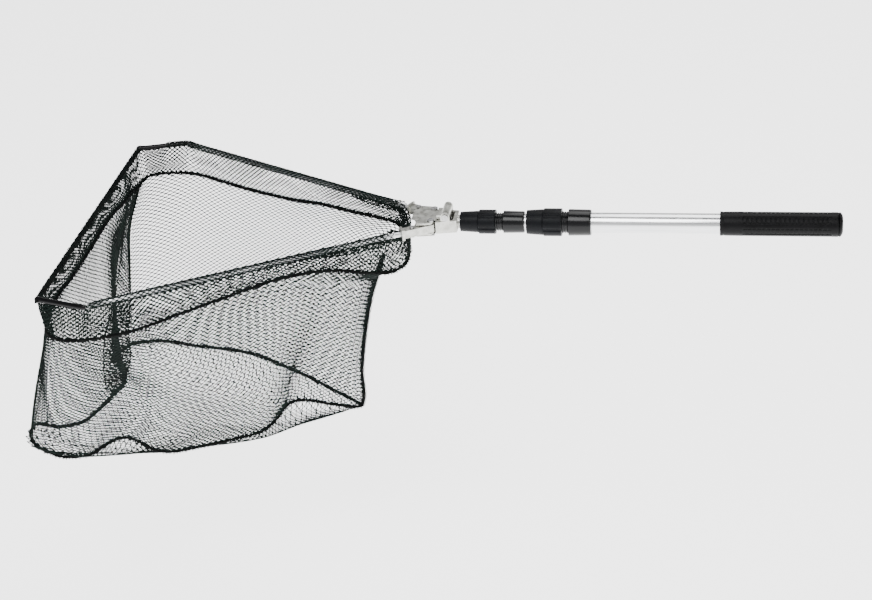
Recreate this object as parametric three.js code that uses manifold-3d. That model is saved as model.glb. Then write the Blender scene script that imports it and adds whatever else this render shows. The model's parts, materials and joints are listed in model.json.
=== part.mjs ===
// Folding landing net on a two-stage telescopic handle, in millimetres, +Z up.
// X runs along the handle, from the hoop at -X to the butt at +X. Y is across the hoop.
// Lengths are laid out from the head's neck, and the whole group is then moved so that the
// origin is the middle of the hand grip.
import * as THREE from 'three';
import { mergeVertices } from 'three/addons/utils/BufferGeometryUtils.js';
import Module from 'manifold-3d';

const wasm = await Module();
wasm.setup();

// ---------------------------------------------------------------- driving dimensions
const GAP = 0.3;                 // clearance between pieces that touch
const ROUND = 32;                // facets round the handle
const SMALL_ROUND = 16;          // facets round pins and rods

const GRIP_MIDDLE = 346;         // neck to the middle of the grip
const BUTT_END = 410;            // neck to the end of the butt
const GRIP_START = 281.5;
const GRIP_END = 405.5;
const GRIP_RADIUS = 13.2;

const BUTT_TUBE = { outer: 11, inner: 10.1, from: 94, to: 404 };
const MID_TUBE = { outer: 9, inner: 8.1, from: 24, to: 388 };
const TOP_TUBE = { outer: 7.3, inner: 6.4, from: 0, to: 366 };

// Each twist lock: a nut with a cone and a fluted ring, a collet, and a threaded collar.
const FRONT_LOCK = {
  nutFrom: 1, ringFrom: 21.3, ringTo: 39.8, bodyFrom: 48.6, bodyTo: 71.6,
  coneFront: 10.9, coneBack: 12, ring: 13.6, neck: 10.1, body: 12.3,
  collet: 9.2, bore: TOP_TUBE.outer + GAP, tube: MID_TUBE,
};
const REAR_LOCK = {
  nutFrom: 73.9, ringFrom: 92.2, ringTo: 112, bodyFrom: 119.6, bodyTo: 144.1,
  coneFront: 13.3, coneBack: 14.3, ring: 15.5, neck: 12.2, body: 14.6,
  collet: 11.5, bore: MID_TUBE.outer + GAP, tube: BUTT_TUBE,
};
const FLUTES = 12;
const THREADS = 4;               // turns of thread modelled, at the collar's end of the neck

// The folding head. The fold pin lies above the handle, so that the folded hoop clears it.
const FOLD = { x: -14, z: 12, pin: 2.3, ear: 5 };
const HEAD_HALF_HEIGHT = 7;
const TONGUE_HALF_WIDTH = 9.3;
const CHEEK_INNER = TONGUE_HALF_WIDTH + 0.5;
const BUTTON = { x: -14, z: -1, radius: 3, travel: 2 };

// The hoop: each arm swings on a pivot beside the middle line.
const PIVOT = { x: -30, y: 14, pin: 2 };
const ELBOW = { x: -368, y: 197 };
const TIP = { x: -422.6, y: 182.3 };
const ROD_RADIUS = 2.9;
const ROD_BORE = 2.1;
const SOCKET_LENGTH = 35;
const SOCKET_HALF = 4.4;
const SPIGOT_LENGTH = 16;        // of the corner piece, inside the rod's end
const EYE_RADIUS = 3.6;
const RIVET_AT = 22;
const CORD_RADIUS = 1.7;
const CORD_PAST_TIP = 6;
const ARM_ANGLE = Math.atan2(ELBOW.y - PIVOT.y, PIVOT.x - ELBOW.x);
const ARM_LENGTH = Math.hypot(ELBOW.y - PIVOT.y, ELBOW.x - PIVOT.x);

// The bag hangs a little towards the front and its floor is smaller than the hoop.
const NET_THICKNESS = 1.4;
const BAG_TOP = -6;
const HEADER_START = 45;         // along the arm, from the pivot
const BAG_FLOOR = {
  z: -260,
  left: { x: -495, y: -122 },
  right: { x: -462, y: 108 },
  throat: { x: -124, y: 12 },
};

// ---------------------------------------------------------------- shape helpers
const at = (x, y, z) => new THREE.Vector3(x, y, z);
const move = (geometry, x, y, z) => geometry.translate(x, y, z);

// Joins the corners of a geometry and turns it outwards if its faces point inwards.
function closed(geometry) {
  const plain = geometry.clone();
  plain.deleteAttribute('normal');
  plain.deleteAttribute('uv');
  const merged = mergeVertices(plain, 1e-4);
  const place = merged.attributes.position;
  const index = Array.from(merged.index.array);
  const [a, b, c] = [at(0, 0, 0), at(0, 0, 0), at(0, 0, 0)];
  let volume = 0;
  for (let i = 0; i < index.length; i += 3) {
    a.fromBufferAttribute(place, index[i]);
    b.fromBufferAttribute(place, index[i + 1]);
    c.fromBufferAttribute(place, index[i + 2]);
    volume += a.dot(b.cross(c));
  }
  if (volume < 0) {
    index.reverse();
  }
  merged.setIndex(index);
  return merged;
}

function toManifold(geometry) {
  const merged = closed(geometry);
  return new wasm.Manifold(new wasm.Mesh({
    numProp: 3,
    vertProperties: new Float32Array(merged.attributes.position.array),
    triVerts: new Uint32Array(merged.index.array),
  }));
}

function toGeometry(manifold) {
  const mesh = manifold.getMesh();
  const geometry = new THREE.BufferGeometry();
  geometry.setAttribute('position', new THREE.BufferAttribute(new Float32Array(mesh.vertProperties), 3));
  geometry.setIndex(Array.from(mesh.triVerts));
  return geometry;
}

// Adds up the first list of solids and cuts the second list away.
function combine(solids, cuts = []) {
  let result = toManifold(solids[0]);
  for (const solid of solids.slice(1)) {
    result = result.add(toManifold(solid));
  }
  for (const cut of cuts) {
    result = result.subtract(toManifold(cut));
  }
  return toGeometry(result);
}

// A solid of revolution about X from [x, radius] corners.
function turned(corners, facets = ROUND) {
  const outline = corners.map(([x, radius]) => new THREE.Vector2(radius, x));
  return closed(new THREE.LatheGeometry(outline, facets).rotateZ(-Math.PI / 2));
}

// A ring about X, with its outline closed on itself.
function sleeve(from, to, inner, outer, facets = ROUND) {
  return turned([[from, inner], [from, outer], [to, outer], [to, inner], [from, inner]], facets);
}

function barX(from, to, radius, facets = ROUND) {
  return turned([[from, 0], [from, radius], [to, radius], [to, 0]], facets);
}

function barY(x, z, from, to, radius, facets = SMALL_ROUND) {
  const bar = new THREE.CylinderGeometry(radius, radius, to - from, facets);
  return closed(move(bar, x, (from + to) / 2, z));
}

function barZ(x, y, from, to, radius, facets = SMALL_ROUND) {
  const bar = new THREE.CylinderGeometry(radius, radius, to - from, facets).rotateX(Math.PI / 2);
  return closed(move(bar, x, y, (from + to) / 2));
}

function box(x0, x1, y0, y1, z0, z1) {
  const solid = new THREE.BoxGeometry(x1 - x0, y1 - y0, z1 - z0);
  return closed(move(solid, (x0 + x1) / 2, (y0 + y1) / 2, (z0 + z1) / 2));
}

// A plate of a plan outline [x, y], between two heights.
function plate(outline, z0, z1) {
  const shape = new THREE.Shape(outline.map(([x, y]) => new THREE.Vector2(x, y)));
  const solid = new THREE.ExtrudeGeometry(shape, { depth: z1 - z0, bevelEnabled: false });
  return closed(move(solid, 0, 0, z0));
}

// A straight round bar between two points.
function rod(start, end, radius, facets = SMALL_ROUND) {
  const along = new THREE.Vector3().subVectors(end, start);
  const bar = new THREE.CylinderGeometry(radius, radius, along.length(), facets);
  const turn = new THREE.Quaternion().setFromUnitVectors(at(0, 1, 0), along.clone().normalize());
  const middle = new THREE.Vector3().addVectors(start, end).multiplyScalar(0.5);
  return closed(bar.applyQuaternion(turn).translate(middle.x, middle.y, middle.z));
}

// A thin panel between four corners, given round its edge.
function panel(a, b, c, d, thickness = NET_THICKNESS) {
  const normal = new THREE.Vector3().crossVectors(
    new THREE.Vector3().subVectors(c, a),
    new THREE.Vector3().subVectors(d, b),
  ).normalize().multiplyScalar(thickness / 2);
  const front = [a, b, c, d].map((point) => point.clone().add(normal));
  const back = [a, b, c, d].map((point) => point.clone().sub(normal));
  const solid = new THREE.BufferGeometry().setFromPoints([...front, ...back]);
  const faces = [0, 2, 1, 0, 3, 2, 4, 5, 6, 4, 6, 7];
  for (let i = 0; i < 4; i += 1) {
    const next = (i + 1) % 4;
    faces.push(i, next, i + 4, next, next + 4, i + 4);
  }
  solid.setIndex(faces);
  return closed(solid);
}

const net = new THREE.Group();
net.name = 'landing_net';
net.position.x = -GRIP_MIDDLE;

function addNode(name, geometry, colour, parent) {
  const mesh = new THREE.Mesh(geometry, new THREE.MeshStandardMaterial({ color: colour }));
  mesh.name = name;
  parent.add(mesh);
}

function addBody(name) {
  const body = new THREE.Group();
  body.name = name;
  net.add(body);
  return body;
}

const ALUMINIUM = '#c9ccd0';
const STEEL = '#9a9c9e';
const BLACK = '#18191b';
const NETTING = '#1d2a22';

// ---------------------------------------------------------------- handle
const tube = ({ outer, inner, from, to }) => sleeve(from, to, inner, outer);

// The plug that guides a tube inside the next larger one, and stops it at the lock.
function endBush(inside, around) {
  const flange = around.inner - GAP;
  const spigot = inside.inner - GAP;
  const start = inside.to - 12;
  const face = inside.to + GAP;
  return turned([[start, 0], [start, spigot], [face, spigot], [face, flange], [face + 8, flange], [face + 8, 0]]);
}

// A padded grip: a sleeve with rows of low ribs round it.
function gripSleeve() {
  const bore = BUTT_TUBE.outer + GAP;
  const mouth = GRIP_START;
  const skin = GRIP_RADIUS - 0.7;
  const body = turned([
    [mouth + 3, bore], [mouth, skin + 0.2], [mouth + 0.8, skin + 0.6], [mouth + 6, GRIP_RADIUS - 0.3],
    [GRIP_END - 6, GRIP_RADIUS], [GRIP_END, GRIP_RADIUS - 0.2], [GRIP_END, bore], [mouth + 3, bore],
  ]);
  const grooves = [];
  const rows = 6;
  for (let row = 0; row < rows; row += 1) {
    const groove = box(mouth + 16, GRIP_END - 8, -0.9, 0.9, GRIP_RADIUS - 0.9, GRIP_RADIUS + 2);
    grooves.push(groove.rotateX(((row + 0.5) * 2 * Math.PI) / rows));
  }
  return combine([body], grooves);
}

function buttPlug() {
  const rim = GRIP_RADIUS;
  const face = GRIP_END + GAP;
  const spigot = BUTT_TUBE.inner - GAP;
  const tip = GRIP_END - 8;
  return turned([
    [tip, 0], [tip, spigot], [face, spigot], [face, rim], [face + 1.6, rim], [BUTT_END - 1, rim - 2],
    [BUTT_END, rim - 4.4], [BUTT_END, 0],
  ]);
}

// A ring with shallow lengthwise flutes, along X.
function flutedRing(from, to, radius) {
  const flute = 1.1;
  const flutes = [];
  for (let i = 0; i < FLUTES; i += 1) {
    const groove = barX(from - 1, to + 1, flute, 8);
    flutes.push(move(groove, 0, 0, radius + flute * 0.45).rotateX((i * 2 * Math.PI) / FLUTES));
  }
  return combine([barX(from, to, radius)], flutes);
}

function lockNut(lock) {
  const coneInside = lock.collet + GAP;
  const ringInside = lock.neck + 0.4;
  const cone = turned([
    [lock.nutFrom, 0], [lock.nutFrom, lock.coneFront - 0.8], [lock.nutFrom + 0.8, lock.coneFront],
    [lock.ringFrom - 0.8, lock.coneBack], [lock.ringFrom - 0.4, lock.coneBack - 0.4],
    [lock.ringFrom + 1, lock.coneBack - 0.4], [lock.ringFrom + 1, 0],
  ]);
  const bore = turned([
    [lock.nutFrom - 1, 0], [lock.nutFrom - 1, lock.bore], [lock.nutFrom + 2, lock.bore],
    [lock.nutFrom + 2, coneInside], [lock.ringFrom, coneInside], [lock.ringFrom, ringInside],
    [lock.ringTo + 1, ringInside], [lock.ringTo + 1, 0],
  ]);
  return combine([cone, flutedRing(lock.ringFrom, lock.ringTo, lock.ring)], [bore]);
}

// The split ring that the nut squeezes onto the inner tube.
function collet(lock) {
  const from = lock.nutFrom + 2.4;
  const to = lock.ringFrom - 0.4;
  const slit = box(from + 3, to + 1, -0.6, 0.6, 0, lock.collet + 1);
  return combine([sleeve(from, to, lock.bore, lock.collet)], [slit]);
}

// The collar on a tube's end: a threaded neck that the nut turns on, and a plain body.
function collar(lock) {
  const innerTube = lock.bore;
  const outerTube = lock.tube.outer + GAP;
  const neck = lock.neck;
  const start = lock.ringFrom + GAP;
  const outline = [[start, innerTube], [start, neck - 0.6]];
  const pitch = 2.4;
  for (let x = lock.bodyFrom - THREADS * pitch; x < lock.bodyFrom - 1; x += pitch) {
    outline.push([x, neck - 0.6], [x + 0.5, neck], [x + 1.1, neck], [x + 1.6, neck - 0.6]);
  }
  outline.push(
    [lock.bodyFrom, neck - 0.6], [lock.bodyFrom, lock.body - 0.6], [lock.bodyFrom + 0.6, lock.body],
    [lock.bodyTo - 0.8, lock.body - 0.4], [lock.bodyTo, lock.body - 1.2], [lock.bodyTo, outerTube],
    [lock.tube.from - GAP, outerTube], [lock.tube.from - GAP, innerTube], [start, innerTube],
  );
  return turned(outline);
}

function addHandle() {
  const butt = addBody('butt_section');
  addNode('butt_tube', tube(BUTT_TUBE), ALUMINIUM, butt);
  addNode('grip', gripSleeve(), BLACK, butt);
  addNode('butt_plug', buttPlug(), BLACK, butt);
  addNode('rear_collar', collar(REAR_LOCK), BLACK, butt);
  addNode('rear_collet', collet(REAR_LOCK), BLACK, butt);
  addNode('rear_lock_nut', lockNut(REAR_LOCK), BLACK, addBody('rear_nut'));

  const middle = addBody('mid_section');
  addNode('mid_tube', tube(MID_TUBE), ALUMINIUM, middle);
  addNode('mid_bush', endBush(MID_TUBE, BUTT_TUBE), BLACK, middle);
  addNode('front_collar', collar(FRONT_LOCK), BLACK, middle);
  addNode('front_collet', collet(FRONT_LOCK), BLACK, middle);
  addNode('front_lock_nut', lockNut(FRONT_LOCK), BLACK, addBody('front_nut'));
}

// ---------------------------------------------------------------- folding head
// The fork: two cheeks with ears for the fold pin, a web, a floor and a stub for the tube.
function headFork() {
  const tall = HEAD_HALF_HEIGHT;
  const solids = [box(-6, -2, -12.5, 12.5, -tall, tall), box(-20.2, -5, -12, 12, -tall, -5)];
  for (const side of [-1, 1]) {
    const cheek = [[-2, 12.5], [-24.6, 16.2], [-24.6, CHEEK_INNER + 0.6], [-2, CHEEK_INNER]];
    solids.push(plate(cheek.map(([x, y]) => [x, side * y]), -tall, tall));
    const ear = [side * CHEEK_INNER, side * 14.2].sort((a, b) => a - b);
    solids.push(barY(FOLD.x, FOLD.z, ear[0], ear[1], FOLD.ear, ROUND));
    solids.push(box(FOLD.x - FOLD.ear, FOLD.x + FOLD.ear, ear[0], ear[1], 0, FOLD.z));
  }
  solids.push(barX(-3, -GAP, TOP_TUBE.outer), barX(-1, 20, TOP_TUBE.inner - GAP));
  return combine(solids, [
    barY(FOLD.x, FOLD.z, -20, 20, FOLD.pin + GAP),
    barY(BUTTON.x, BUTTON.z, 8, 20, BUTTON.radius + GAP),
    barZ(10, 0, -10, 10, 1.8),
  ]);
}

function headed(from, to, radius, head, thick) {
  const shaft = barZ(0, 0, from, to, radius);
  return combine([shaft, barZ(0, 0, to - thick, to, head), barZ(0, 0, from, from + thick, head)]);
}

function foldPin() {
  const half = 15.9;
  return move(headed(-half, half, FOLD.pin, 3.8, 1.3).rotateX(Math.PI / 2), FOLD.x, 0, FOLD.z);
}

// The tongue turns on the fold pin and carries two plates that hold the arms.
function yoke() {
  const low = 5.3;
  const high = 7.3;
  const wide = [[-27.4, 15.5], [-30, 18.8], [-45, 21.5]];
  const solids = [];
  for (const z of [low, -high]) {
    const outline = [[-21, TONGUE_HALF_WIDTH], [-27.4, TONGUE_HALF_WIDTH], ...wide];
    const mirrored = outline.map(([x, y]) => [x, -y]).reverse();
    solids.push(plate([...outline, ...mirrored], z, z + high - low));
  }
  solids.push(box(-24, -21, -TONGUE_HALF_WIDTH, TONGUE_HALF_WIDTH, -high, high));
  solids.push(box(-24, FOLD.x, -TONGUE_HALF_WIDTH, TONGUE_HALF_WIDTH, 3.5, 12));
  solids.push(barY(FOLD.x, FOLD.z, -TONGUE_HALF_WIDTH, TONGUE_HALF_WIDTH, FOLD.ear, ROUND));
  const cuts = [barY(FOLD.x, FOLD.z, -20, 20, FOLD.pin + GAP)];
  for (const side of [-1, 1]) {
    cuts.push(barZ(PIVOT.x, side * PIVOT.y, -20, 20, PIVOT.pin + GAP));
  }
  cuts.push(plate([[-33, 2.6], [-46, 8], [-46, -8], [-33, -2.6]], -20, 20));
  return combine(solids, cuts);
}

function lockButton() {
  const outside = CHEEK_INNER + 4.6 + BUTTON.travel;
  const head = barY(BUTTON.x, BUTTON.z, 5.6, outside, BUTTON.radius);
  const flange = barY(BUTTON.x, BUTTON.z, 5.6, 7.4, 3.6);
  return combine([head, flange]);
}

// The spring behind the button, against the other cheek.
class Coil extends THREE.Curve {
  constructor(from, to, radius, turns) {
    super();
    Object.assign(this, { from, to, radius, turns });
  }

  getPoint(t, target = at(0, 0, 0)) {
    const angle = 2 * Math.PI * this.turns * t;
    const y = this.from + (this.to - this.from) * t;
    return target.set(this.radius * Math.cos(angle), y, this.radius * Math.sin(angle));
  }
}

function lockSpring() {
  const wire = new THREE.Shape().absarc(0, 0, 0.35, 0, 2 * Math.PI);
  const route = new Coil(-9, 4.8, 2.3, 5);
  const steps = { steps: 50, bevelEnabled: false, extrudePath: route, curveSegments: 3 };
  return closed(move(new THREE.ExtrudeGeometry(wire, steps), BUTTON.x, 0, BUTTON.z));
}

function pivotRivet(side) {
  return move(headed(-9.2, 9.2, PIVOT.pin, 3.9, 1.5), PIVOT.x, side * PIVOT.y, 0);
}

function addHead() {
  const top = addBody('top_section');
  const tubeWithHole = combine([tube(TOP_TUBE)], [barZ(10, 0, -10, 10, 1.8)]);
  addNode('top_tube', tubeWithHole, ALUMINIUM, top);
  addNode('top_bush', endBush(TOP_TUBE, MID_TUBE), BLACK, top);
  addNode('head_fork', headFork(), STEEL, top);
  addNode('head_pin', barZ(10, 0, -7.1, 7.1, 1.5), STEEL, top);
  addNode('fold_pin', foldPin(), STEEL, top);
  addNode('lock_spring', lockSpring(), STEEL, top);
  addNode('lock_button', lockButton(), STEEL, addBody('fold_button'));

  const carrier = addBody('hoop_carrier');
  addNode('yoke', yoke(), STEEL, carrier);
  addNode('arm_pivot_left', pivotRivet(-1), STEEL, carrier);
  addNode('arm_pivot_right', pivotRivet(1), STEEL, carrier);
}

// ---------------------------------------------------------------- hoop
// Places a piece laid along +X from the pivot on the arm of one side.
function onArm(geometry, side) {
  return move(geometry.rotateZ(Math.PI - side * ARM_ANGLE), PIVOT.x, side * PIVOT.y, 0);
}

function alongArm(distance, side, z = 0) {
  const x = PIVOT.x - distance * Math.cos(ARM_ANGLE);
  return at(x, side * (PIVOT.y + distance * Math.sin(ARM_ANGLE)), z);
}

function armSocket(side) {
  const half = SOCKET_HALF;
  const height = 4.5;
  const mouth = SOCKET_LENGTH;
  const solids = [
    box(0, mouth, -half, half, -height, height),
    barZ(0, 0, -height, height, half, ROUND),
    box(mouth - 3, mouth, -half - 1.4, half + 1.4, -height - 1.6, height + 1.6),
  ];
  return onArm(combine(solids, [
    barZ(0, 0, -20, 20, PIVOT.pin + GAP),
    barX(10, mouth + 5, ROD_RADIUS + GAP, SMALL_ROUND),
    barZ(RIVET_AT, 0, -20, 20, 1.7),
  ]), side);
}

function armRod(side) {
  const solid = barX(10.4, ARM_LENGTH - 3, ROD_RADIUS, SMALL_ROUND);
  const bore = barX(9, ARM_LENGTH, ROD_BORE, SMALL_ROUND);
  return onArm(combine([solid], [bore, barZ(RIVET_AT, 0, -20, 20, 1.7)]), side);
}

// The bent plastic corner: it plugs into the rod's end and carries the front cord in its eye.
function cornerTip(side) {
  const elbow = at(ELBOW.x, side * ELBOW.y, 0);
  const tip = at(TIP.x, side * TIP.y, 0);
  const spigot = rod(alongArm(ARM_LENGTH - SPIGOT_LENGTH, side), elbow, ROD_BORE - GAP);
  const shoulder = rod(alongArm(ARM_LENGTH - 3 + GAP, side), elbow, ROD_RADIUS);
  const bend = closed(move(new THREE.SphereGeometry(ROD_RADIUS, 16, 10), elbow.x, elbow.y, 0));
  const eye = closed(move(new THREE.SphereGeometry(EYE_RADIUS, 16, 10), tip.x, tip.y, 0));
  const solids = [spigot, shoulder, bend, rod(elbow, tip, ROD_RADIUS), eye];
  const cordHole = rod(at(TIP.x, side * (TIP.y - 9), 0), at(TIP.x, side * (TIP.y + 9), 0), CORD_RADIUS + GAP);
  return combine(solids, [cordHole]);
}

function frontCord(side) {
  const middle = at(TIP.x, side * 0.2, 0);
  return rod(middle, at(TIP.x, side * (TIP.y + CORD_PAST_TIP), 0), CORD_RADIUS, 14);
}

// ---------------------------------------------------------------- bag
function bagCorners(side) {
  const low = BAG_FLOOR.z;
  const corner = side < 0 ? BAG_FLOOR.left : BAG_FLOOR.right;
  const middleX = (BAG_FLOOR.left.x + BAG_FLOOR.right.x) / 2;
  return {
    root: alongArm(HEADER_START, side, BAG_TOP),
    elbow: at(ELBOW.x, side * ELBOW.y, BAG_TOP),
    tip: at(TIP.x, side * TIP.y, BAG_TOP),
    front: at(TIP.x, side * 0.3, BAG_TOP),
    throat: at(-64, side * 0.3, -14),
    floorSide: at(corner.x + 34, corner.y + side * 4, low),
    floorCorner: at(corner.x, corner.y, low),
    floorFront: at(middleX, side * 0.3, low),
    floorThroat: at(BAG_FLOOR.throat.x, side * BAG_FLOOR.throat.y, low),
    floorThroatMid: at(BAG_FLOOR.throat.x + 2, side * 0.3, low),
  };
}

// Pulls both ends of a panel's edge in, so that neighbouring panels stay clear.
function inset(a, b, distance = 1.2) {
  const along = new THREE.Vector3().subVectors(b, a).normalize().multiplyScalar(distance);
  return [a.clone().add(along), b.clone().sub(along)];
}

function strip(topA, topB, lowB, lowA) {
  const [a, b] = inset(topA, topB);
  const [d, c] = inset(lowA, lowB);
  return panel(a, b, c, d);
}

function floorHalf(c, side) {
  const lift = -2;
  const points = [c.floorThroatMid, c.floorThroat, c.floorSide, c.floorCorner, c.floorFront];
  const outline = points.map((p) => [p.x, p.y - (Math.abs(p.y) > 1 ? side * 1.5 : 0)]);
  return plate(outline, BAG_FLOOR.z + lift - NET_THICKNESS, BAG_FLOOR.z + lift);
}

function addArm(side, word) {
  const arm = addBody(`arm_${word}`);
  addNode(`arm_socket_${word}`, armSocket(side), STEEL, arm);
  addNode(`arm_rod_${word}`, armRod(side), ALUMINIUM, arm);
  const rivet = headed(-6.2, 6.2, 1.4, 2.6, 1.3);
  addNode(`rod_rivet_${word}`, onArm(move(rivet, RIVET_AT, 0, 0), side), STEEL, arm);
  addNode(`corner_tip_${word}`, cornerTip(side), BLACK, arm);
  addNode(`front_cord_${word}`, frontCord(side), BLACK, arm);

  const c = bagCorners(side);
  addNode(`bag_side_${word}`, strip(c.root, c.elbow, c.floorSide, c.floorThroat), NETTING, arm);
  addNode(`bag_corner_${word}`, strip(c.elbow, c.tip, c.floorCorner, c.floorSide), NETTING, arm);
  addNode(`bag_front_${word}`, strip(c.tip, c.front, c.floorFront, c.floorCorner), NETTING, arm);
  addNode(`bag_floor_${word}`, floorHalf(c, side), NETTING, arm);
  addNode(`bag_throat_${word}`, strip(c.root, c.throat, c.floorThroatMid, c.floorThroat), NETTING, arm);
}

addHandle();
addHead();
addArm(-1, 'left');
addArm(1, 'right');

const group = new THREE.Group();
group.name = 'part';
group.add(net);

export default group;
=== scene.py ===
import json
import math

import bpy
import numpy as np
from mathutils import Matrix, Vector


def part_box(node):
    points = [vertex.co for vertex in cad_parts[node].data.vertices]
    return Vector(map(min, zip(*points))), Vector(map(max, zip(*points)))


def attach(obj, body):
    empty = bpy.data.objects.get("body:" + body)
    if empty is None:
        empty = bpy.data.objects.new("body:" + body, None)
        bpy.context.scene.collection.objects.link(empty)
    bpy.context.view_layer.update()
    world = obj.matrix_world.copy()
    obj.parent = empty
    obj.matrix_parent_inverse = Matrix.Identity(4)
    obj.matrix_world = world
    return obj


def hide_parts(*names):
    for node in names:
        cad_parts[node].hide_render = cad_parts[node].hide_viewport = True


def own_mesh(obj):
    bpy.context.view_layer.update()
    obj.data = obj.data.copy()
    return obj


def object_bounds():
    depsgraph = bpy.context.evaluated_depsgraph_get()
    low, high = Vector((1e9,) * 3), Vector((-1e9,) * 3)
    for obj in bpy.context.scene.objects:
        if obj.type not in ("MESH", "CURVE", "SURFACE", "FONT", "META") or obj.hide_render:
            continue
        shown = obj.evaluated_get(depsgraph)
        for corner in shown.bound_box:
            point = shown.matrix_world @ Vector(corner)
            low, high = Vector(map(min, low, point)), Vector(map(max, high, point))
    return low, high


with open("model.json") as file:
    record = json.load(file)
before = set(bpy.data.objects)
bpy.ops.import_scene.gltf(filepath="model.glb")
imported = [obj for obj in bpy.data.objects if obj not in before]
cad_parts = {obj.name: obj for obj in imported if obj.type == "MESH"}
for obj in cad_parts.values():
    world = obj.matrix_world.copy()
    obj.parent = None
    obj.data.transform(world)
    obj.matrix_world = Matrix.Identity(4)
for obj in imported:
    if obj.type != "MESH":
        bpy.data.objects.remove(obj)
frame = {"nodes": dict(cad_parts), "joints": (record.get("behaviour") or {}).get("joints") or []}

cad_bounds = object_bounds()

# ---------------------------------------------------------------- places read from the frame
MM = 0.001
joints = {joint["name"]: joint for joint in frame["joints"]}
SIDES = {-1: "left", 1: "right"}
FOLD_FROM_NECK = 0.014                    # the fold pin lies this far in front of the neck
NECK_X = joints["head_fold"]["pos_m"][0] + FOLD_FROM_NECK


def row(points):
    """Points in millimetres from the neck, as metres in the row frame."""
    return np.atleast_2d(np.asarray(points, float)) * MM + np.array([NECK_X, 0.0, 0.0])


def box(node):
    low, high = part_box(node)
    return np.array(low), np.array(high)


cord_low, cord_high = box("front_cord_right")
CORD_X = (cord_low[0] + cord_high[0]) / 2
CORD_RADIUS = (cord_high[2] - cord_low[2]) / 2
CORD_PAST_TIP = 6 * MM
TIP_Y = cord_high[1] - CORD_PAST_TIP
tip_low, tip_high = box("corner_tip_right")
EYE_RADIUS = (tip_high[2] - tip_low[2]) / 2
rod_low, rod_high = box("arm_rod_right")
ROD_RADIUS = (rod_high[2] - rod_low[2]) / 2
ELBOW_Y = tip_high[1] - ROD_RADIUS
PIVOT = np.array(joints["arm_right_swing"]["pos_m"])
rod_span = rod_high - rod_low
ARM_ANGLE = math.atan2(rod_span[1], rod_span[0])
for _ in range(5):
    ARM_ANGLE = math.atan2(
        rod_span[1] - 2 * ROD_RADIUS * math.cos(ARM_ANGLE),
        rod_span[0] - 2 * ROD_RADIUS * math.sin(ARM_ANGLE),
    )
ELBOW_X = PIVOT[0] - (ELBOW_Y - PIVOT[1]) / math.tan(ARM_ANGLE)


def arm_point(distance, side, z=0.0):
    """A point along an arm, that far from its pivot."""
    return np.array([
        PIVOT[0] - distance * math.cos(ARM_ANGLE),
        side * (PIVOT[1] + distance * math.sin(ARM_ANGLE)),
        z,
    ])


ARM_LENGTH = (ELBOW_Y - PIVOT[1]) / math.sin(ARM_ANGLE)


# ---------------------------------------------------------------- meshes
def make_mesh(name, verts, faces, material, smooth=True):
    """A mesh object from vertices and faces, where every face has the same number of corners."""
    data = bpy.data.meshes.new(name)
    faces = np.asarray(faces, dtype=np.int32)
    data.vertices.add(len(verts))
    data.vertices.foreach_set("co", np.asarray(verts, np.float32).ravel())
    sides = faces.shape[1]
    data.loops.add(faces.size)
    data.loops.foreach_set("vertex_index", faces.ravel())
    data.polygons.add(len(faces))
    data.polygons.foreach_set("loop_start", np.arange(0, faces.size, sides, dtype=np.int32))
    data.update(calc_edges=True)
    data.polygons.foreach_set("use_smooth", np.full(len(faces), smooth))
    data.validate()
    thing = bpy.data.objects.new(name, data)
    bpy.context.scene.collection.objects.link(thing)
    data.materials.append(material)
    return thing


def grid_faces(rows, columns, closed=True):
    """Quads of a grid of rows by columns, joined round its columns where closed."""
    across = columns if closed else columns - 1
    r = np.arange(rows - 1)[:, None]
    c = np.arange(across)[None, :]
    nxt = (c + 1) % columns
    quads = np.stack([r * columns + c, r * columns + nxt, (r + 1) * columns + nxt,
                      (r + 1) * columns + c], -1)
    return quads.reshape(-1, 4)


def revolve(name, profile, material, facets=128, shape=None):
    """Revolves a closed outline of (x, radius) about the handle's axis, in mm from the neck.
    shape(x, radius, angle) may change the radius."""
    outline = np.array(list(profile) + [profile[0]], float)
    angle = np.linspace(0, 2 * math.pi, facets, endpoint=False)
    x = np.repeat(outline[:, 0], facets)
    radius = np.repeat(outline[:, 1], facets)
    turn = np.tile(angle, len(outline))
    if shape is not None:
        radius = shape(x, radius, turn)
    verts = row(np.stack([x, radius * np.cos(turn), radius * np.sin(turn)], -1))
    return make_mesh(name, verts, grid_faces(len(outline), facets)[:, ::-1], material)


def rounded(corners, radius=0.4, steps=4):
    """An outline with each sharp corner turned into a short arc."""
    corners = [np.array(c, float) for c in corners]
    out = []
    for i, here in enumerate(corners):
        before, after = corners[i - 1], corners[(i + 1) % len(corners)]
        into, away = before - here, after - here
        reach = min(radius, 0.45 * np.linalg.norm(into), 0.45 * np.linalg.norm(away))
        a = here + into / np.linalg.norm(into) * reach
        b = here + away / np.linalg.norm(away) * reach
        for k in range(steps + 1):
            t = k / steps
            out.append(tuple((1 - t) ** 2 * a + 2 * t * (1 - t) * here + t ** 2 * b))
    return out


def frames(points):
    """Two steady cross directions along a polyline."""
    tangent = np.gradient(points, axis=0)
    tangent /= np.linalg.norm(tangent, axis=1, keepdims=True)
    side = np.zeros_like(points)
    start = np.cross(tangent[0], [0.0, 0.0, 1.0])
    if np.linalg.norm(start) < 0.1:
        start = np.cross(tangent[0], [1.0, 0.0, 0.0])
    side[0] = start / np.linalg.norm(start)
    for i in range(1, len(points)):
        s = side[i - 1] - tangent[i] * np.dot(side[i - 1], tangent[i])
        side[i] = s / np.linalg.norm(s)
    return side, np.cross(tangent, side)


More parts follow.
